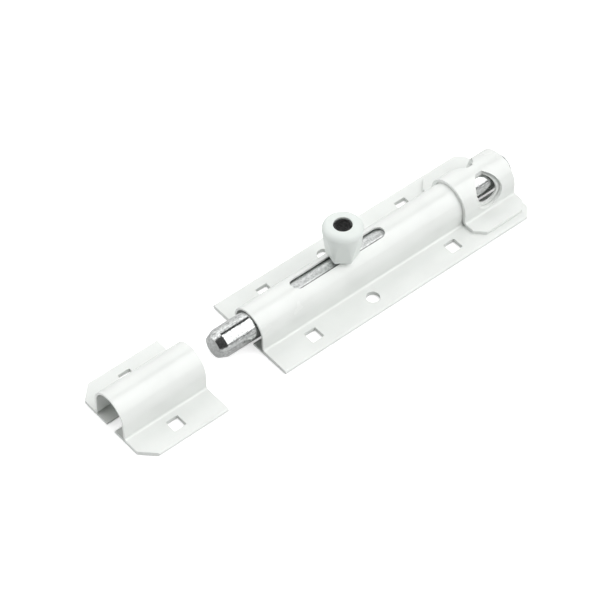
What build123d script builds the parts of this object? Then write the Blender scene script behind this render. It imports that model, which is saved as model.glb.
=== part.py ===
"""Barrel bolt with a padlock housing and a separate keep, in millimetres.

The back plates lie on Z = 0. +X is the way the bolt is thrown, towards the keep, and +Z is away
from the door. The origin is midway between the two round screw holes, on the back plane. The
bolt rod is modelled part way along its travel, with its nose in the gap before the keep.
"""

import os

from build123d import *

# Folded guide channel
plate_width = 44.0  # over the folded edges, the same on the keep
body_length = 128.0
front_overhang = 49.5  # from the screw holes to the channel's front end
sheet = 0.9  # coated sheet of the channel and the keep
fold_gap = 0.1  # air between the two layers of a flange
lip_gap = 4.8  # between the two turned-in lips, at the back
foot_radius = 1.0  # where a leg of the arch meets its flange
plate_corner = 4.0  # cut off the channel's two rear corners

# Bolt rod
rod_diameter = 11.8
rod_length = 148.0
rod_nose = 17.2  # how far the nose stands out of the channel as modelled
nose_taper = 1.4  # taken off the radius at the nose
nose_length = 3.4
tail_chamfer = 0.8
rod_lift = 2.4  # air between the rod and the lips
rod_top_clearance = 0.3
rod_side_clearance = 1.7
seat_depth = 0.4  # flat spot for the collar, below the rod's top

# Slot in the crown, and the collar that runs in it
slot_width = 6.0
slot_length = 46.0
slot_inset = 21.0  # from the channel's front end to the slot's front end
collar_clearance = 0.3  # each side, in the slot

# Fixing holes
hole_pitch = 29.4  # across the plate, for round and square holes alike
screw_hole = 5.5
square_hole = 5.5  # takes the square neck of an M5 coach bolt
square_corner = 0.4
front_square_inset = 19.8  # from the channel's front end
rear_square_inset = 37.0  # from the channel's rear end

# Padlock housing, spot-welded over the channel's rear end
housing_sheet = 1.5
housing_length = 26.6
housing_width = 38.0
housing_corner = 4.0
housing_gap = 0.1  # between the two arches
padlock_hole = 13.0  # in the housing
shackle_hole = 10.0  # in the channel, on the same axis
padlock_inset = 13.3  # from the rear end to the hole's axis
padlock_rise = 2.05  # the hole's axis above the rod's
crown_strip = 4.6  # left uncut over the crown, between the two mouths of the hole

# Keep
keep_gap = 27.5  # between the channel and the keep, as modelled
keep_length = 38.4
keep_corner = 6.1  # cut off the keep's two outer corners
keep_side_clearance = 1.9  # around the rod
keep_top_clearance = 1.8

# Knob and its fastening
knob_setback = 63.7  # from the rod's nose to the knob's axis
knob_height = 16.2
knob_clearance = 0.4  # over the channel's crown
knob_top_diameter = 16.2
knob_base_diameter = 12.9
knob_rim = 2.4  # depth of the rounded top edge
knob_shoulder = 0.72  # how far the rounded edge draws in at its middle
knob_flats = 6
knob_turn = -9.4  # of the first flat, from +X
flat_depth = 0.85  # of a flat, at the knob's base
knob_floor = 6.0  # plastic under the screw's head
plug_diameter = 7.4
plug_height = 3.0
plug_recess = 0.4
plug_clearance = 0.03
screw_diameter = 4.0
screw_grip = 6.2  # of the screw in the rod
head_diameter = 7.0
head_height = 2.6
head_rounding = 0.9
recess_depth = 1.4  # of the cross in the head
recess_length = 4.2
recess_width = 1.0
tip_chamfer = 0.5
tap_spare = 1.0  # of the tapped hole, below the screw's tip
thread_clearance = 0.04
screw_clearance = 0.15  # in the knob and the collar

front = front_overhang
rear = front - body_length
flange = 2 * sheet + fold_gap
rod_radius = rod_diameter / 2
rod_axis = sheet + rod_lift + rod_radius
arch_radius = rod_radius + rod_side_clearance  # inside
arch_top = rod_axis + rod_radius + rod_top_clearance  # inside
crown = arch_top + sheet
nose = front + rod_nose
knob_x = nose - knob_setback
knob_base = crown + knob_clearance
knob_top = knob_base + knob_height
seat = rod_axis + rod_radius - seat_depth
collar_radius = slot_width / 2 - collar_clearance
screw_bore = screw_diameter / 2 + screw_clearance
head_seat = knob_base + knob_floor
keep_start = front + keep_gap
big = 4 * plate_width


def sheet_section(start, heading, moves, thickness):
    """The section, across X, of a folded sheet. Its middle line starts at (y, z), heads that many
    degrees from +Y, and takes each move: a number is a flat, and a pair is a bend, as its angle
    (positive is to the left) and the radius of its middle line."""
    half = thickness / 2
    here = Vector(*start)
    sides = {half: [], -half: []}

    def ahead(angle):
        return Vector(1, 0).rotate(Axis.Z, angle)

    for move in moves:
        left = ahead(heading + 90)
        if not isinstance(move, tuple):
            there = here + ahead(heading) * move
            for side, edges in sides.items():
                edges.append(Line(here + left * side, there + left * side))
            here = there
            continue
        angle, radius = move
        inward = radius if angle > 0 else -radius
        centre = here + left * inward
        for side, edges in sides.items():
            points = [
                centre + ahead(heading + turn + 90) * (side - inward)
                for turn in (0, angle / 2, angle)
            ]
            edges.append(ThreePointArc(*points))
        heading += angle
        here = centre - ahead(heading + 90) * inward
    first, second = sides.values()
    ends = [Line(a @ at, b @ at) for a, b, at in ((first[0], second[0], 0), (first[-1], second[-1], 1))]
    return make_face(first + second + ends)


def along_x(section, start, length):
    """The section carried along X."""
    return Pos(start, 0, 0) * extrude(Plane.YZ * section, length)


def folded_channel(start, length, radius, top):
    """An arch on two doubled flanges: each flange runs out, folds under and comes back inwards as
    the lower layer, which ends in a lip below the arch. Radius and top are the arch's inside."""
    middle = radius + sheet / 2
    bend = foot_radius + sheet / 2
    fold = (sheet + fold_gap) / 2
    lower, upper = sheet / 2, flange - sheet / 2
    edge = plate_width / 2 - fold - sheet / 2
    side = [edge - lip_gap / 2, (180, fold), edge - middle - bend, (-90, bend)]
    leg = top - radius - upper - bend
    moves = side + [leg, (180, middle), leg] + side[::-1]
    return along_x(sheet_section((lip_gap / 2, lower), 0, moves, sheet), start, length)


def cut_corners(plate, end, width, corner, length):
    """The plate without the two corners at one end, where length is towards the other end."""
    inward = 1 if length > 0 else -1
    for side in (1, -1):
        outline = Polyline(
            (end - inward, side * (width / 2 - corner - 1)),
            (end + inward * (corner + 1), side * (width / 2 + 1)),
            (end - inward, side * (width / 2 + 1)),
            close=True,
        )
        plate -= extrude(make_face(outline), crown)
    return plate


def square_holes(x):
    """Cutters for the pair of square holes at x."""
    square = extrude(RectangleRounded(square_hole, square_hole, square_corner), 3 * flange)
    return [Pos(x, side * hole_pitch / 2, -flange) * square for side in (1, -1)]


def round_holes(x):
    """Cutters for the pair of screw holes at x."""
    return [Pos(x, side * hole_pitch / 2, 0) * Cylinder(screw_hole / 2, big) for side in (1, -1)]


def padlock_cutters(diameter):
    """Cutters for the shackle's hole, one for each side of the strip over the crown."""
    reach = plate_width
    middle = (crown_strip + reach) / 2
    drill = Rot(90, 0, 0) * Cylinder(diameter / 2, reach)
    at = (rear + padlock_inset, rod_axis + padlock_rise)
    return [Pos(at[0], side * middle, at[1]) * drill for side in (1, -1)]


def make_guide_channel():
    """The long folded body, with its slot, fixing holes and shackle holes."""
    body = folded_channel(rear, body_length, arch_radius, arch_top)
    body = cut_corners(body, rear, plate_width, plate_corner, body_length)
    slot = extrude(SlotOverall(slot_length, slot_width), crown)
    slot_middle = front - slot_inset - slot_length / 2
    body -= Pos(slot_middle, 0, rod_axis) * slot
    body -= square_holes(front - front_square_inset) + square_holes(rear + rear_square_inset)
    body -= round_holes(0)
    return body - padlock_cutters(shackle_hole)


def make_padlock_housing():
    """The thicker hood over the channel's rear end, through which a shackle passes."""
    half = housing_sheet / 2
    inside = arch_radius + sheet + housing_gap
    middle = inside + half
    bend = foot_radius + half
    flat = housing_width / 2 - middle - bend
    leg = arch_top - arch_radius - flange - half - bend
    moves = [flat, (-90, bend), leg, (180, middle), leg, (-90, bend), flat]
    section = sheet_section((housing_width / 2, flange + half), 180, moves, housing_sheet)
    hood = along_x(section, rear, housing_length)
    hood = cut_corners(hood, rear, housing_width, housing_corner, housing_length)
    hood = cut_corners(hood, rear + housing_length, housing_width, housing_corner, -housing_length)
    return hood - padlock_cutters(padlock_hole)


def make_keep():
    """The short folded socket that takes the rod's nose on the frame side."""
    radius = rod_radius + keep_side_clearance
    top = rod_axis + rod_radius + keep_top_clearance
    socket = folded_channel(keep_start, keep_length, radius, top)
    socket = cut_corners(socket, keep_start + keep_length, plate_width, keep_corner, -keep_length)
    return socket - square_holes(keep_start + keep_length / 2)


def make_bolt_rod():
    """The round rod, tapered at the nose, with a flat spot and a tapped hole for the knob."""
    profile = Polyline(
        (nose - rod_length, 0),
        (nose - rod_length, rod_radius - tail_chamfer),
        (nose - rod_length + tail_chamfer, rod_radius),
        (nose - nose_length, rod_radius),
        (nose, rod_radius - nose_taper),
        (nose, 0),
        close=True,
    )
    rod = Pos(0, 0, rod_axis) * revolve(make_face(profile), Axis.X)
    spot = Pos(knob_x, 0, seat) * extrude(Circle(collar_radius + collar_clearance), rod_radius)
    hole_floor = seat - screw_grip - tap_spare
    tapped = Pos(knob_x, 0, hole_floor) * extrude(Circle(screw_diameter / 2 + thread_clearance), big)
    return rod - [spot, tapped]


def knob_body():
    """The knob's round form: a cone that widens upwards, with a rounded top edge."""
    top_radius, base_radius = knob_top_diameter / 2, knob_base_diameter / 2
    wide = knob_height - knob_rim
    profile = make_face(
        [
            Line((0, 0), (base_radius, 0)),
            Line((base_radius, 0), (top_radius, wide)),
            ThreePointArc(
                (top_radius, wide),
                (top_radius - knob_shoulder, knob_height - knob_shoulder),
                (top_radius - knob_rim, knob_height),
            ),
            Line((top_radius - knob_rim, knob_height), (0, knob_height)),
            Line((0, knob_height), (0, 0)),
        ]
    )
    return revolve(Plane.XZ * profile, Axis.Z)


def make_knob_grip():
    """The moulded grip, with flats around its cone and a counterbore for the screw's head."""
    grip = knob_body()
    base_radius = knob_base_diameter / 2
    lean = (knob_top_diameter - knob_base_diameter) / 2 / (knob_height - knob_rim)
    # A flat runs out at the bottom of the rounded edge
    slope = lean + flat_depth / (knob_height - knob_rim)
    foot = base_radius - flat_depth
    wedge = make_face(
        Polyline((foot - slope, -1), (foot + slope * big, big), (big * 2, big), (big * 2, -1), close=True)
    )
    cutter = extrude(Plane.XZ * wedge, knob_top_diameter, both=True)
    grip -= [Rot(0, 0, knob_turn + 360 / knob_flats * flat) * cutter for flat in range(knob_flats)]
    grip = Pos(knob_x, 0, knob_base) * grip
    through = Pos(knob_x, 0, 0) * extrude(Circle(screw_bore), big)
    counterbore = Pos(knob_x, 0, head_seat) * extrude(Circle(plug_diameter / 2 + plug_clearance), big)
    return grip - [through, counterbore]


def make_knob_plug():
    """The snap-in disc that hides the screw, with a bevelled rim."""
    bevel = plug_recess
    plug = Cylinder(plug_diameter / 2, plug_height, align=(Align.CENTER, Align.CENTER, Align.MAX))
    plug = chamfer(plug.edges().group_by(Axis.Z)[-1], bevel)
    return Pos(knob_x, 0, knob_top - plug_recess) * plug


def make_knob_screw():
    """The pan-head machine screw that clamps grip and collar to the rod."""
    shank_length = head_seat - seat + screw_grip
    shank = Pos(knob_x, 0, head_seat - shank_length) * extrude(Circle(screw_diameter / 2), shank_length)
    tip = shank.edges().group_by(Axis.Z)[0]
    shank = chamfer(tip, tip_chamfer)
    head = extrude(Circle(head_diameter / 2), head_height)
    head = fillet(head.edges().group_by(Axis.Z)[-1], head_rounding)
    arm = Box(recess_length, recess_width, recess_depth)
    recess = Pos(0, 0, head_height - recess_depth / 2) * (arm + Rot(0, 0, 90) * arm)
    return shank + Pos(knob_x, 0, head_seat) * (head - recess)


def make_slot_collar():
    """The steel bush between rod and grip, which runs in the slot and meets its ends."""
    ring = Circle(collar_radius) - Circle(screw_bore)
    return Pos(knob_x, 0, seat) * extrude(ring, knob_base - seat)


parts = {
    "guide_channel": make_guide_channel(),
    "padlock_housing": make_padlock_housing(),
    "keep": make_keep(),
    "bolt_rod": make_bolt_rod(),
    "knob_grip": make_knob_grip(),
    "knob_plug": make_knob_plug(),
    "knob_screw": make_knob_screw(),
    "slot_collar": make_slot_collar(),
}

os.makedirs("parts", exist_ok=True)
for name, shape in parts.items():
    shape.label = name
    export_step(shape, f"parts/{name}.step")

slot_front = front - slot_inset
throw = slot_front - collar_radius - knob_x
draw = knob_x - collar_radius - (slot_front - slot_length)
print(f"travel to the slot's ends: {throw:.2f} forwards, {draw:.2f} back")
print(f"rod axis at z {rod_axis:.2f}, knob at x {knob_x:.2f}, nose at x {nose:.2f}")
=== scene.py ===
import math

import bmesh
import bpy
import numpy as np
from mathutils import Matrix


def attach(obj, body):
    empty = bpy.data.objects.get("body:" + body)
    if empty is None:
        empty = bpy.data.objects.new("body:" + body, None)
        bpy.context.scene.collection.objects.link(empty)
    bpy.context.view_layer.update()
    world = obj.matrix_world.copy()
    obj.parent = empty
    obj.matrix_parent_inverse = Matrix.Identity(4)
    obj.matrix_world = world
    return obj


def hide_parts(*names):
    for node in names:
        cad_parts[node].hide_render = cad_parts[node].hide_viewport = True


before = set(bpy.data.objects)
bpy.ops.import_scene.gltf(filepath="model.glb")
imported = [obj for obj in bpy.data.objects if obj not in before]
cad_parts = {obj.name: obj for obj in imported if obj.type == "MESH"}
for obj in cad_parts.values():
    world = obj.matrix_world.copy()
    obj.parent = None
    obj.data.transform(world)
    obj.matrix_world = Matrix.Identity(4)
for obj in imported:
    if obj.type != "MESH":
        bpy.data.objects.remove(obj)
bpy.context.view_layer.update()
scene = bpy.context.scene
mm = 0.001
print("frame loaded:", ", ".join(sorted(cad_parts)))


class Wire:
    # One output socket. Arithmetic on it adds Math nodes to its tree.
    def __init__(self, tree, socket):
        self.tree, self.socket = tree, socket

    def math(self, operation, *values):
        return self.tree.add("ShaderNodeMath", {"operation": operation}, dict(enumerate(values)))

    def __add__(self, other):
        return self.math("ADD", self, other)

    def __sub__(self, other):
        return self.math("SUBTRACT", self, other)

    def __rsub__(self, other):
        return self.math("SUBTRACT", other, self)

    def __mul__(self, other):
        return self.math("MULTIPLY", self, other)

    def __truediv__(self, other):
        return self.math("DIVIDE", self, other)

    def __pow__(self, other):
        return self.math("POWER", self, other)

    __radd__, __rmul__ = __add__, __mul__

    def out(self, name):
        # Another output of the same node
        return Wire(self.tree, self.socket.node.outputs[name])

    def between(self, low, high):
        # 0 at low, 1 at high and a smooth step between. The step falls where low is above high.
        inputs = {"Value": self, "From Min": low, "From Max": high}
        return self.tree.add("ShaderNodeMapRange", {"interpolation_type": "SMOOTHSTEP"}, inputs)


class Tree:
    # The nodes of a material or of the world
    def __init__(self, owner):
        owner.use_nodes = True
        self.nodes, self.links = owner.node_tree.nodes, owner.node_tree.links
        self.nodes.clear()

    def add(self, kind, settings=None, inputs=None):
        node = self.nodes.new(kind)
        for name, value in (settings or {}).items():
            if name == "stops":
                ramp = node.color_ramp.elements
                while len(ramp) < len(value):
                    ramp.new(1)
                for stop, (place, colour) in zip(ramp, value):
                    stop.position, stop.color = place, colour
            else:
                setattr(node, name, value)
        for name, value in (inputs or {}).items():
            if isinstance(value, Wire):
                self.links.new(value.socket, node.inputs[name])
            else:
                node.inputs[name].default_value = value
        return Wire(self, node.outputs[0]) if node.outputs else node

    def place(self, scale=(1, 1, 1)):
        # Object coordinates in millimetres, stretched by scale
        coordinates = self.add("ShaderNodeTexCoord").out("Object")
        return self.add("ShaderNodeMapping", {}, {"Vector": coordinates, "Scale": [s / mm for s in scale]})

    def split(self, vector):
        return self.add("ShaderNodeSeparateXYZ", {}, {"Vector": vector})

    def noise(self, place, size, detail=2, roughness=0.5):
        # size is a feature's width in millimetres
        inputs = {"Vector": place, "Scale": 1 / size, "Detail": detail, "Roughness": roughness}
        return self.add("ShaderNodeTexNoise", {}, inputs)

    def mix(self, share, first, second):
        return self.add("ShaderNodeMix", {"data_type": "RGBA"}, {0: share, 6: first, 7: second}).out(2)

    def bump(self, height, depth, under=None):
        # depth in millimetres
        inputs = {"Height": height, "Distance": depth * mm, "Strength": 1.0}
        if under:
            inputs["Normal"] = under
        return self.add("ShaderNodeBump", {}, inputs)


def grey(level, tint=(1, 1, 1)):
    return (*(level * part for part in tint), 1)


def newFinish(name):
    material = bpy.data.materials.new(name)
    return material, Tree(material)


def finishSurface(tree, inputs):
    surface = tree.add("ShaderNodeBsdfPrincipled", {}, inputs)
    tree.add("ShaderNodeOutputMaterial", {}, {"Surface": surface})


# Angles in degrees, lengths in millimetres. The camera looks at a point that lies aside and above
# in its own view, from a distance along its line, and origin is that point's shift along X.
view = {"azimuth": 140.565, "elevation": 48.636, "roll": -0.564, "aside": 29.85, "above": 15.38,
        "distance": 976.33, "origin": 14.5, "lens": 149.82, "sensor": 36, "near": 0.01, "far": 50}


def placeCamera():
    azimuth, elevation, roll = (math.radians(view[k]) for k in ("azimuth", "elevation", "roll"))
    back = np.array([math.sin(azimuth) * math.cos(elevation),
                     -math.cos(azimuth) * math.cos(elevation), math.sin(elevation)])
    right = np.cross([0, 0, 1], back)
    right /= np.linalg.norm(right)
    up = np.cross(back, right)
    rolledRight = math.cos(roll) * right + math.sin(roll) * up
    rolledUp = math.cos(roll) * up - math.sin(roll) * right
    turn = np.array([rolledRight, rolledUp, back])
    centre = turn.T @ [-view["aside"], -view["above"], view["distance"]] - [view["origin"], 0, 0]
    camera = bpy.data.objects.new("camera", bpy.data.cameras.new("camera"))
    scene.collection.objects.link(camera)
    camera.data.lens, camera.data.sensor_width = view["lens"], view["sensor"]
    camera.data.clip_start, camera.data.clip_end = view["near"], view["far"]
    matrix = Matrix(turn.T.tolist()).to_4x4()
    matrix.translation = (centre * mm).tolist()
    camera.matrix_world = matrix
    scene.camera = camera


floorLook = {"size": 12, "drop": 0.25 * mm, "shown": 0.9, "glow": 0.5, "bounce": 0.70, "rough": 0.9}


def addFloor(name, height, material):
    half = floorLook["size"] / 2
    mesh = bpy.data.meshes.new(name)
    corners = [(-half, -half, height), (half, -half, height), (half, half, height), (-half, half, height)]
    mesh.from_pydata(corners, [], [(0, 1, 2, 3)])
    mesh.materials.append(material)
    floor = bpy.data.objects.new(name, mesh)
    scene.collection.objects.link(floor)
    return floor


def makeFloor():
    # One floor is what the camera sees. The other is the greyer one that the light bounces off.
    material, tree = newFinish("paleFloor")
    finishSurface(tree, {
        "Base Color": grey(floorLook["shown"]), "Roughness": floorLook["rough"], "Specular IOR Level": 0.0,
        "Emission Color": grey(1), "Emission Strength": floorLook["glow"]})
    shown = addFloor("floor", -floorLook["drop"], material)
    shown.visible_diffuse = shown.visible_glossy = False
    shown.visible_shadow = shown.visible_transmission = False
    material, tree = newFinish("greyFloor")
    matt = tree.add("ShaderNodeBsdfDiffuse", {}, {"Color": grey(floorLook["bounce"])})
    tree.add("ShaderNodeOutputMaterial", {}, {"Surface": matt})
    under = addFloor("floorBounce", -2 * floorLook["drop"], material)
    under.visible_camera = False


# Brightness of the light tent by the angle round the X axis, from straight up towards +Y: over the
# bolt's rear, and over its front, where the opening for the camera is dark. The two join where the
# direction's X passes through join. Each end is a disc round the X axis, turned aim degrees to -Y.
tent = {
    "rear": [(-180, 0.8), (-90, 0.9), (-60, 1.2), (-31, 1.5), (-29, 1.4), (-27, 0.05), (-6, 0.05),
             (-4, 2.55), (20, 2.65), (35, 2.45), (71, 2.0), (72, 0.03), (81, 0.03), (83, 1.2), (180, 0.8)],
    "front": [(-180, 0.8), (-90, 0.9), (-40, 1.35), (-30, 1.6), (-18, 1.6), (-11, 0.1), (74, 0.06),
              (86, 0.1), (92, 0.8), (180, 0.8)],
    "join": (0.12, 0.18), "peak": 2.7,
    "ends": [{"aim": 12, "edge": (0.68, 0.78), "level": 1.2},
             {"aim": 0, "edge": (-0.8, -0.88), "level": 0.1}]}


def makeLight():
    world = bpy.data.worlds.new("tent")
    scene.world = world
    tree = Tree(world)
    peak = tent["peak"]
    at = tree.split(tree.add("ShaderNodeTexCoord").out("Generated"))
    x, y, z = at.out("X"), at.out("Y"), at.out("Z")
    turn = y.math("ARCTAN2", y, z) / (2 * math.pi) + 0.5
    halves = []
    for half in ("rear", "front"):
        stops = [(degrees / 360 + 0.5, grey(level / peak)) for degrees, level in tent[half]]
        halves.append(tree.add("ShaderNodeValToRGB", {"stops": stops}, {"Fac": turn}))
    colour = tree.mix(x.between(*tent["join"]), *halves)
    for end in tent["ends"]:
        aim = math.radians(end["aim"])
        along = x * math.cos(aim) - y * math.sin(aim)
        colour = tree.mix(along.between(*end["edge"]), colour, grey(end["level"] / peak))
    lit = tree.add("ShaderNodeBackground", {}, {"Color": colour, "Strength": peak})
    plain = tree.add("ShaderNodeBackground", {}, {"Color": grey(1), "Strength": 1.0})
    seen = tree.add("ShaderNodeLightPath").out("Is Camera Ray")
    both = tree.add("ShaderNodeMixShader", {}, {0: seen, 1: lit, 2: plain})
    tree.add("ShaderNodeOutputWorld", {}, {"Surface": both})
    scene.view_settings.view_transform = "Standard"


placeCamera()
makeFloor()
makeLight()
print("camera, floor and light are ready")

# Sizes in the finishes are in millimetres, and a depth is a bump's.
coatTint, knobTint, metalTint = (0.99, 1.018, 0.99), (0.975, 1.03, 0.995), (0.985, 1.01, 1.0)
coatLook = {"pale": grey(0.79, coatTint), "dull": grey(0.762, coatTint), "clouds": 14,
            "cloudEdge": (0.35, 0.7), "peel": 1.1, "peelDepth": 0.012, "grain": 0.22, "grainDepth": 0.0025,
            "rough": 0.19, "roughMore": 0.12, "gloss": 0.3, "glossRough": 0.12}


def whiteCoat():
    # Powder coat: faint clouds, an orange peel and a fine grain
    look = coatLook
    material, tree = newFinish("whiteCoat")
    place = tree.place()
    clouds = tree.noise(place, look["clouds"], 3)
    peel, grain = tree.noise(place, look["peel"]), tree.noise(place, look["grain"])
    finishSurface(tree, {
        "Base Color": tree.mix(clouds.between(*look["cloudEdge"]), look["pale"], look["dull"]),
        "Roughness": clouds * look["roughMore"] + look["rough"],
        "Normal": tree.bump(grain, look["grainDepth"], tree.bump(peel, look["peelDepth"])),
        "Coat Weight": look["gloss"], "Coat Roughness": look["glossRough"]})
    return material


plateLook = {"bright": grey(0.69, metalTint), "dull": grey(0.37, metalTint), "spread": (0.40, 0.62),
             "line": 0.6, "reach": 14, "lineShare": 0.4, "lineDepth": 0.03,
             "spangle": 0.9, "spangleDepth": 0.045, "speck": 0.2, "speckDepth": 0.006,
             "rough": 0.08, "roughMore": 0.12}
# The last two entries paint a dark line of shade on the rod along the slot's near edge
scuffLook = {"pale": grey(0.74, metalTint), "dull": grey(0.54, metalTint), "spread": (0.4, 0.6),
             "start": -45, "end": 40, "fade": 5, "height": (13.9, 14.5), "grain": 0.7, "clouds": 4,
             "least": 0.55, "cloudShare": 0.6, "rough": 0.34, "speckMore": 2,
             "paintedShade": grey(0.05), "paintedShadeEdge": (1.75, 2.05)}


def brightPlate():
    # Lengthwise draw lines and a fine spangle. Along the top, where the rod runs under the slot, it is
    # scuffed grey, with a dark line of painted shade along the slot's near edge, where that edge shades the
    # rod.
    look, scuff = plateLook, scuffLook
    material, tree = newFinish("brightPlate")
    place = tree.place()
    at = tree.split(place)
    lines = tree.noise(tree.place((1 / look["reach"], 1, 1)), look["line"], 3, 0.6)
    spangle = tree.noise(place, look["spangle"], 3, 0.65)
    specks = tree.noise(place, look["speck"])
    grain = tree.noise(place, scuff["grain"])
    clouds = tree.noise(place, scuff["clouds"], 3)
    start, end, fade = scuff["start"], scuff["end"], scuff["fade"]
    along = at.out("X").between(start, start + fade) * at.out("X").between(end, end - fade)
    patchy = clouds * scuff["cloudShare"] + scuff["least"]
    scuffed = along * at.out("Z").between(*scuff["height"]) * patchy
    # Painted shade: a dark line on the rod under the slot's near edge, where that edge shades it
    paintedShadeLine = scuffed * at.out("Y").between(*scuff["paintedShadeEdge"])
    share = (lines * look["lineShare"] + spangle * (1 - look["lineShare"])).between(*look["spread"])
    clean = tree.mix(share, look["bright"], look["dull"])
    rubbed = tree.mix(grain.between(*scuff["spread"]), scuff["pale"], scuff["dull"])
    streaks = tree.bump(spangle, look["spangleDepth"], tree.bump(lines, look["lineDepth"]))
    finishSurface(tree, {
        "Base Color": tree.mix(paintedShadeLine, tree.mix(scuffed, clean, rubbed), scuff["paintedShade"]), "Metallic": 1.0,
        "Roughness": share * look["roughMore"] + look["rough"] + scuffed * scuff["rough"],
        "Normal": tree.bump(specks + scuffed * specks * scuff["speckMore"], look["speckDepth"], streaks)})
    return material


plasticLook = {"pale": grey(0.76, knobTint), "dull": grey(0.73, knobTint), "clouds": 4, "grain": 0.16,
               "grainDepth": 0.0025, "rough": 0.30, "roughMore": 0.12, "inside": 0.06,
               "insideReach": (0.6 * mm, 0.6 * mm, 0.5 * mm)}


def whitePlastic():
    look = plasticLook
    material, tree = newFinish("whitePlastic")
    place = tree.place()
    clouds, grain = tree.noise(place, look["clouds"]), tree.noise(place, look["grain"])
    finishSurface(tree, {
        "Base Color": tree.mix(clouds, look["pale"], look["dull"]),
        "Roughness": clouds * look["roughMore"] + look["rough"],
        "Normal": tree.bump(grain, look["grainDepth"]),
        "Subsurface Weight": look["inside"], "Subsurface Radius": look["insideReach"],
        "Subsurface Scale": 1.0})
    return material


# The knob's axis, and the heights of the collar's seat and of the knob's base, inner floor and top
knobAt = {"x": 3.0, "seat": 14.7, "base": 16.7, "floor": 22.7, "top": 32.9}
# The last four entries paint a lighter ring near the disc's edge that stands in for light caught on its rim
discLook = {"dark": grey(0.001), "light": grey(0.018), "spread": (0.4, 0.62), "clouds": 1.6, "grain": 0.7,
            "grainDepth": 0.06, "rough": 0.42, "roughMore": 0.2, "shine": 0.14,
            "paintedGlint": grey(0.08), "glintInner": (2.95, 3.1), "glintOuter": (3.3, 3.45), "glintEdge": (0.38, 0.55)}


def blackPlastic():
    # Coarse grain, and a painted highlight: a lighter ring near the disc's edge, by the distance from the
    # knob's axis, for the light its rim catches
    look = discLook
    material, tree = newFinish("blackPlastic")
    place = tree.place()
    at = tree.split(place)
    clouds, grain = tree.noise(place, look["clouds"], 3), tree.noise(place, look["grain"], 2, 0.7)
    out = ((at.out("X") - knobAt["x"]) ** 2 + at.out("Y") ** 2) ** 0.5
    # Painted highlight: a grey ring where the rim's chamfer would catch the light
    ring = out.between(*look["glintInner"]) * (1 - out.between(*look["glintOuter"]))
    paintedGlint = ring * clouds.between(*look["glintEdge"])
    speckled = tree.mix(grain.between(*look["spread"]), look["dark"], look["light"])
    finishSurface(tree, {
        "Base Color": tree.mix(paintedGlint, speckled, look["paintedGlint"]),
        "Roughness": clouds * look["roughMore"] + look["rough"],
        "Normal": tree.bump(grain, look["grainDepth"]), "Specular IOR Level": look["shine"]})
    return material


steelLook = {"bright": grey(0.60, metalTint), "dull": grey(0.46, metalTint), "clouds": 1.5, "grain": 0.5,
             "squeeze": 12, "grainDepth": 0.004, "rough": 0.2, "roughMore": 0.2}


def platedSteel():
    # Turning marks run round the Z axis
    look = steelLook
    material, tree = newFinish("platedSteel")
    clouds = tree.noise(tree.place(), look["clouds"], 3)
    grain = tree.noise(tree.place((1, 1, look["squeeze"])), look["grain"], 3)
    finishSurface(tree, {
        "Base Color": tree.mix(clouds, look["bright"], look["dull"]), "Metallic": 1.0,
        "Roughness": grain * look["roughMore"] + look["rough"],
        "Normal": tree.bump(grain, look["grainDepth"])})
    return material


finishes = {"white_coat": whiteCoat(), "bright_plate": brightPlate(), "white_plastic": whitePlastic(),
            "black_plastic": blackPlastic(), "plated_steel": platedSteel()}
print("finishes:", ", ".join(finishes))


def link(name, mesh, body, slot, node):
    piece = bpy.data.objects.new(name, mesh)
    scene.collection.objects.link(piece)
    mesh.materials.clear()
    mesh.materials.append(finishes[slot])
    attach(piece, body)
    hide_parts(node)
    print("piece:", name, len(mesh.polygons), "faces")
    return piece


def surface(name, grid, rowsMeet=False):
    # grid is rows by columns of points in millimetres. Columns run round and meet. The rows meet too
    # where the wall closes on itself, and otherwise a point closes each end. The sum of each face's
    # corner times its own cross product is negative where the faces point inwards.
    rows, columns = grid.shape[:2]
    number = np.arange(rows * columns).reshape(rows, columns)
    first = number if rowsMeet else number[:-1]
    second = np.roll(number, -1, 0)[: len(first)]
    quads = np.stack([first, np.roll(first, -1, 1), np.roll(second, -1, 1), second], -1).reshape(-1, 4)
    points, faces = grid.reshape(-1, 3), quads.tolist()
    if not rowsMeet:
        points = np.vstack([points, grid[0].mean(0), grid[-1].mean(0)])
        start, end = np.full(columns, rows * columns), np.full(columns, rows * columns + 1)
        faces += np.stack([start, np.roll(number[0], -1), number[0]], -1).tolist()
        faces += np.stack([end, number[-1], np.roll(number[-1], -1)], -1).tolist()
    mesh = bpy.data.meshes.new(name)
    mesh.from_pydata((points * mm).tolist(), [], faces)
    corners = points[quads]
    if np.einsum("ij,ij->", corners[:, 0], np.cross(corners[:, 1], corners[:, 2])) < 0:
        mesh.flip_normals()
    mesh.update()
    return mesh


def softened(points, cut, steps=4):
    # The points of a profile, (across, along), each corner replaced by a small parabola that starts and
    # ends cut away from it, or a little under half way along a shorter side
    points = np.array(points, float)
    out = [points[:1]]
    t = np.linspace(0, 1, steps + 1)[:, None]
    for before, corner, after in zip(points[:-2], points[1:-1], points[2:]):
        ends = []
        for end in (before, after):
            length = np.linalg.norm(end - corner)
            ends.append(corner + (end - corner) / length * min(cut, length * 0.45))
        out.append((1 - t) ** 2 * ends[0] + 2 * t * (1 - t) * corner + t**2 * ends[1])
    return np.vstack(out + [points[-1:]])


def turned(profile, columns):
    # A profile (radius, height) carried round Z
    angle = np.linspace(0, 2 * np.pi, columns, endpoint=False)
    radius, height = profile[:, :1], profile[:, 1:]
    return np.stack(np.broadcast_arrays(radius * np.cos(angle), radius * np.sin(angle), height), -1)


def smooth(piece, angle=35):
    piece.data.shade_smooth()
    piece.data.set_sharp_from_angle(angle=math.radians(angle))


sheetLook = {"merge": 0.002 * mm, "flat": math.radians(0.3), "corner": math.radians(32), "segments": 2,
             "channelEdge": 0.16 * mm, "housingEdge": 0.22 * mm, "keepEdge": 0.16 * mm, "evenness": 100}


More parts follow.
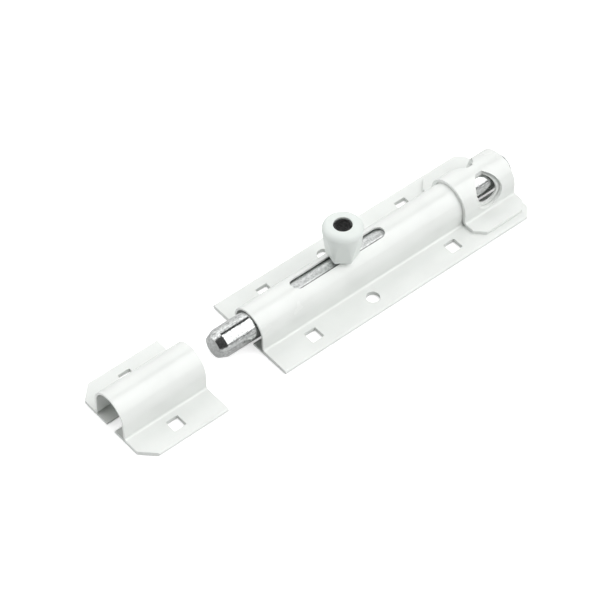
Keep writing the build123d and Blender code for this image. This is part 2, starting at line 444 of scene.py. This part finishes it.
def weldedCopy(node, name, edge):
    # A merged copy of a folded part's CAD mesh, its flats joined up and its edges rounded by edge
    look = sheetLook
    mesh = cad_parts[node].data.copy()
    mesh.name = name
    for layer in [a.name for a in mesh.attributes if a.name == "custom_normal"]:
        mesh.attributes.remove(mesh.attributes[layer])
    work = bmesh.new()
    work.from_mesh(mesh)
    bmesh.ops.remove_doubles(work, verts=work.verts, dist=look["merge"])
    bmesh.ops.dissolve_limit(work, angle_limit=look["flat"], verts=work.verts, edges=work.edges)
    work.to_mesh(mesh)
    work.free()
    piece = link(name, mesh, "housing", "white_coat", node)
    mesh.shade_smooth()
    bevel = piece.modifiers.new("softEdges", "BEVEL")
    bevel.width, bevel.segments, bevel.limit_method = edge, look["segments"], "ANGLE"
    bevel.angle_limit, bevel.use_clamp_overlap = look["corner"], True
    normals = piece.modifiers.new("evenNormals", "WEIGHTED_NORMAL")
    normals.keep_sharp, normals.weight = False, look["evenness"]


weldedCopy("guide_channel", "guideChannel", sheetLook["channelEdge"])
weldedCopy("padlock_housing", "padlockHousing", sheetLook["housingEdge"])
weldedCopy("keep", "keepSocket", sheetLook["keepEdge"])

rodLook = {"radius": 5.9, "axis": 9.2, "tail": -81.3, "nose": 66.7, "taper": 1.4, "taperLength": 3.4,
           "tailCut": 0.8, "edge": 0.25, "centre": 0.4, "columns": 144, "sharp": 24,
           "nearKnob": 4, "rings": (26, 21, 22)}
tapLook = {"floor": 7.5, "radius": 2.04, "spotRadius": 3.0, "above": 18, "centre": 0.01, "columns": 64}


def makeRod():
    # A profile carried round the X axis, with the rings closer together near the knob
    look, tap = rodLook, tapLook
    radius, tail, nose, centre = look["radius"], look["tail"], look["nose"], look["centre"]
    corners = [(centre, tail), (radius - look["tailCut"], tail), (radius, tail + look["tailCut"]),
               (radius, nose - look["taperLength"]), (radius - look["taper"], nose), (centre, nose)]
    profile = softened(corners, look["edge"])
    at = profile[:, 1]
    middle = int(np.argmax(np.diff(at)))
    near = look["nearKnob"]
    before, within, after = look["rings"]
    rings = np.concatenate([np.linspace(at[middle], knobAt["x"] - near, before)[1:],
                            np.linspace(-near, near, within)[1:] + knobAt["x"],
                            np.linspace(knobAt["x"] + near, at[middle + 1], after)[1:-1]])
    extra = np.stack([np.full(len(rings), radius), rings], -1)
    profile = np.vstack([profile[: middle + 1], extra, profile[middle + 1:]])
    around = turned(profile, look["columns"])
    grid = np.stack([around[..., 2], around[..., 1], look["axis"] - around[..., 0]], -1)
    rod = link("boltRod", surface("boltRod", grid), "bolt", "bright_plate", "bolt_rod")
    # The flat spot under the collar and the tapped hole are cut out
    seat = knobAt["seat"]
    cut = [(tap["centre"], tap["floor"]), (tap["radius"], tap["floor"]), (tap["radius"], seat),
           (tap["spotRadius"], seat), (tap["spotRadius"], tap["above"]), (tap["centre"], tap["above"])]
    drill = turned(np.array(cut, float), tap["columns"]) + [knobAt["x"], 0, 0]
    cutter = bpy.data.objects.new("cutter", surface("cutter", drill))
    scene.collection.objects.link(cutter)
    boolean = rod.modifiers.new("hole", "BOOLEAN")
    boolean.object, boolean.solver = cutter, "EXACT"
    bpy.context.view_layer.update()
    made = bpy.data.meshes.new_from_object(rod.evaluated_get(bpy.context.evaluated_depsgraph_get()))
    rod.modifiers.clear()
    rod.data = made
    bpy.data.objects.remove(cutter)
    smooth(rod, look["sharp"])


gripLook = {"base": 6.45, "top": 8.1, "rim": 2.4, "flats": 6, "flatDepth": 0.85, "turn": 50.6, "ridge": 0.06,
            "hollow": 0.22, "bore": 2.15, "counterbore": 3.73, "columns": 240, "rings": 36, "rimRings": 13,
            "sole": 1.2, "foot": 0.35, "footEdge": 0.3, "boreEdge": 0.2}


def makeGrip():
    # Round the knob the radius is the lesser of the cone's, which follows the profile, and a flat's,
    # which is its distance over the cosine of the angle from its middle, with a soft ridge between.
    look = gripLook
    base, top, tall = look["base"], look["top"], knobAt["top"] - knobAt["base"]
    wide = tall - look["rim"]
    lean = (top - base) / wide
    slope = lean + look["flatDepth"] / wide
    height = np.linspace(look["foot"], wide, look["rings"])
    cone = np.stack([base + lean * height, height], -1)
    quarter = np.linspace(0, np.pi / 2, look["rimRings"] + 1)[1:]
    rim = np.stack([top - look["rim"] * (1 - np.cos(quarter)), wide + look["rim"] * np.sin(quarter)], -1)
    foot = softened([(base - look["sole"], 0), (base, 0), (base + 0.1, 0.6)], look["footEdge"])[:-1]
    bore, counter, sink = look["bore"], look["counterbore"], knobAt["floor"] - knobAt["base"]
    lip = softened([(top - look["rim"], tall), (counter, tall), (counter, sink), (bore, sink), (bore, 0),
                    (base - look["sole"], 0)], look["boreEdge"])[1:-1]
    profile = np.vstack([foot, cone, rim, lip])
    outer = np.arange(len(profile)) < len(foot) + len(cone) + len(rim)
    angle = np.linspace(0, 2 * np.pi, look["columns"], endpoint=False)
    step = 2 * np.pi / look["flats"]
    off = (angle - math.radians(look["turn"]) + step / 2) % step - step / 2
    coneRadius, level = profile[:, :1], profile[:, 1:]
    hollow = look["hollow"] * np.cos(off * look["flats"] / 2) * (1 - level / wide)
    flat = (base - look["flatDepth"] + slope * level) / np.cos(off) - hollow
    apart = np.clip(0.5 + (flat - coneRadius) / (2 * look["ridge"]), 0, 1)
    cut = flat * (1 - apart) + coneRadius * apart - look["ridge"] * apart * (1 - apart)
    radius = np.where(outer[:, None], np.minimum(cut, coneRadius), coneRadius)
    grid = np.stack(np.broadcast_arrays(radius * np.cos(angle) + knobAt["x"], radius * np.sin(angle),
                                        level + knobAt["base"]), -1)
    smooth(link("knobGrip", surface("knobGrip", grid, True), "bolt", "white_plastic", "knob_grip"))


plugLook = {"sunk": 0.4, "height": 3.0, "radius": 3.7, "rim": 1.1, "dish": 0.12, "slant": 0.2, "edge": 0.4,
            "soft": 0.1, "centre": 0.3, "columns": 96}


def makePlug():
    # A disc with a shallow dish inside its rim
    look = plugLook
    top, radius, centre = knobAt["top"] - look["sunk"], look["radius"], look["centre"]
    under, low, inner = top - look["height"], top - look["dish"], radius - look["rim"]
    corners = [(centre, low), (inner - look["slant"], low), (inner, top), (radius - look["edge"], top),
               (radius, top - look["edge"]), (radius, under), (centre, under)]
    grid = turned(softened(corners, look["soft"]), look["columns"]) + [knobAt["x"], 0, 0]
    smooth(link("knobPlug", surface("knobPlug", grid), "bolt", "black_plastic", "knob_plug"))


screwLook = {"crest": 1.97, "root": 1.62, "pitch": 0.7, "steps": 10, "tip": 8.5, "tipRadius": 1.3,
             "point": 0.4, "start": 0.5, "neck": 0.6, "head": 3.45, "headHeight": 2.55, "headEdge": 0.3,
             "crown": 2.5, "recess": 1.4, "arm": 2.1, "armWidth": 0.5, "armEnd": 0.3, "armSide": 0.08,
             "columns": 96, "rings": 44}


def makeScrew():
    # The thread's radius is a triangle wave of the height less the angle's share of a turn. The head's
    # top is lowered inside a cross, whose edges are smooth steps.
    look = screwLook
    angle = np.linspace(0, 2 * np.pi, look["columns"], endpoint=False)
    root, crown, floor = look["root"], look["crown"], knobAt["floor"]
    low, high = look["tip"] + look["start"], floor - look["neck"]
    rise = np.arange(low, high, look["pitch"] / look["steps"])[:, None]
    phase = (rise / look["pitch"] - angle / (2 * np.pi)) % 1
    wave = np.clip(1.25 - np.abs(2 * phase - 1) * 1.5, 0, 1)
    fade = np.clip(np.minimum(rise - low, high - rise) / look["start"], 0, 1)
    thread = root + (look["crest"] - root) * wave * fade
    shank = np.stack(np.broadcast_arrays(thread * np.cos(angle), thread * np.sin(angle), rise), -1)
    tip = look["tip"]
    nib = np.array([(0.2, tip), (look["tipRadius"], tip), (root, tip + look["point"])])
    point = turned(nib, look["columns"])
    top = floor + look["headHeight"]
    head = softened([(root, floor - 0.5), (1.8, floor), (look["head"], floor), (look["head"], top),
                     (crown, top)], look["headEdge"], 6)
    side = turned(np.vstack([head[:-1], [(crown + 0.1, top)]]), look["columns"])
    ring = np.linspace(crown, 0.05, look["rings"])[:, None]
    x, y = ring * np.cos(angle), ring * np.sin(angle)
    inArm = [np.clip((look["armWidth"] - np.abs(a)) / look["armSide"] + 0.5, 0, 1)
             * np.clip((look["arm"] - np.abs(b)) / look["armEnd"] + 0.5, 0, 1) for a, b in ((x, y), (y, x))]
    cross = np.stack([x, y, top - look["recess"] * np.maximum(*inArm)], -1)
    grid = np.vstack([point, shank, side, cross]) + [knobAt["x"], 0, 0]
    smooth(link("knobScrew", surface("knobScrew", grid), "bolt", "plated_steel", "knob_screw"))


collarLook = {"inner": 2.15, "outer": 2.7, "air": 0.02, "edge": 0.12, "columns": 72}


def makeCollar():
    # A ring between the rod's flat spot and the knob, its wall closed on itself at the start's height
    look = collarLook
    inner, outer, start = look["inner"], look["outer"], knobAt["seat"] + 0.8
    low, high = knobAt["seat"] + look["air"], knobAt["base"] - look["air"]
    corners = [(inner, start), (inner, low), (outer, low), (outer, high), (inner, high), (inner, start)]
    grid = turned(softened(corners, look["edge"])[:-1], look["columns"]) + [knobAt["x"], 0, 0]
    smooth(link("slotCollar", surface("slotCollar", grid, True), "bolt", "plated_steel", "slot_collar"))


makeRod()
makeGrip()
makePlug()
makeScrew()
makeCollar()
